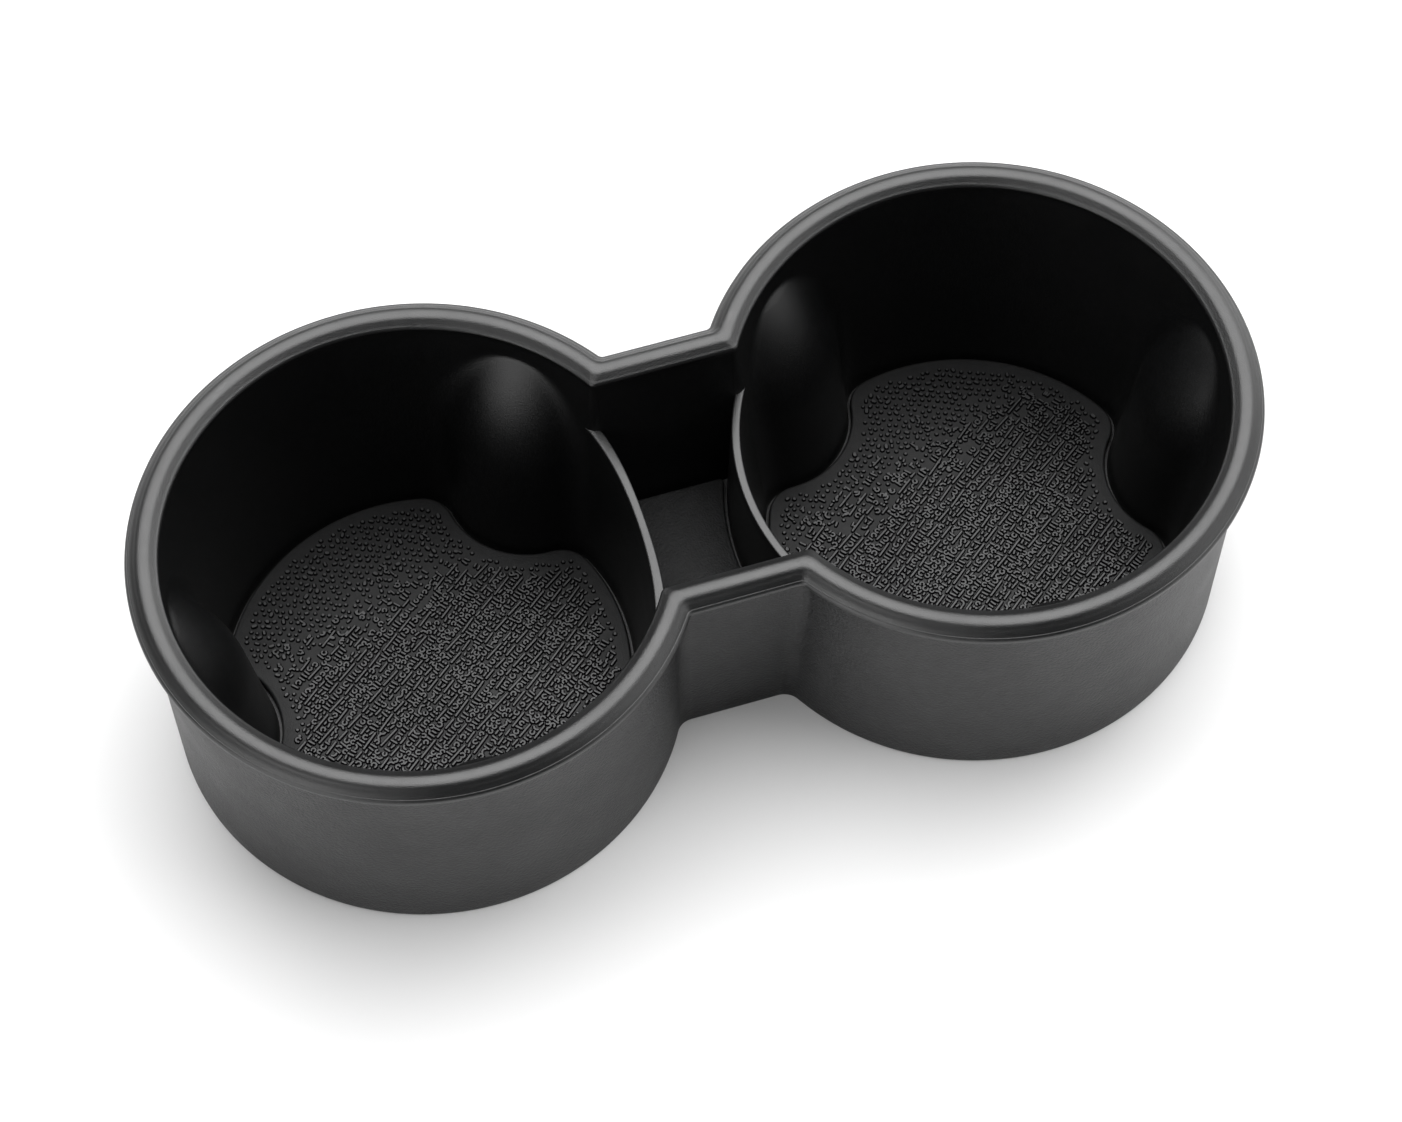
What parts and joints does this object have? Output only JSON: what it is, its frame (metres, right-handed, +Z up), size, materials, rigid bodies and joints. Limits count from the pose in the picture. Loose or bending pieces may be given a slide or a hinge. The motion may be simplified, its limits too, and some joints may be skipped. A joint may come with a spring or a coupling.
{
  "type": "car cup holder insert",
  "caption": "Drop-in cup holder for a car's centre console: tapered round cups with grip lobes joined by a small middle compartment, one rolled rim, loose textured floor mats.",
  "frame": {"origin": "middle of the underside, on the plane of the skirt's lower edge", "axes": "+X runs along the tray from the left cup to the right cup, -Y is the front, +Z is up, out of the cups' mouths"},
  "size_m": [0.1998, 0.098, 0.0524],
  "materials": {
    "moulding": "satin black with a fine grain",
    "cup_mat": "matt with an embossed texture",
    "middle_mat": "matt with a fine grain"
  },
  "bodies": {
    "root": {"tray": "moulding", "left_mat": "cup_mat", "right_mat": "cup_mat", "middle_mat": "middle_mat"}
  },
  "joints": []
}
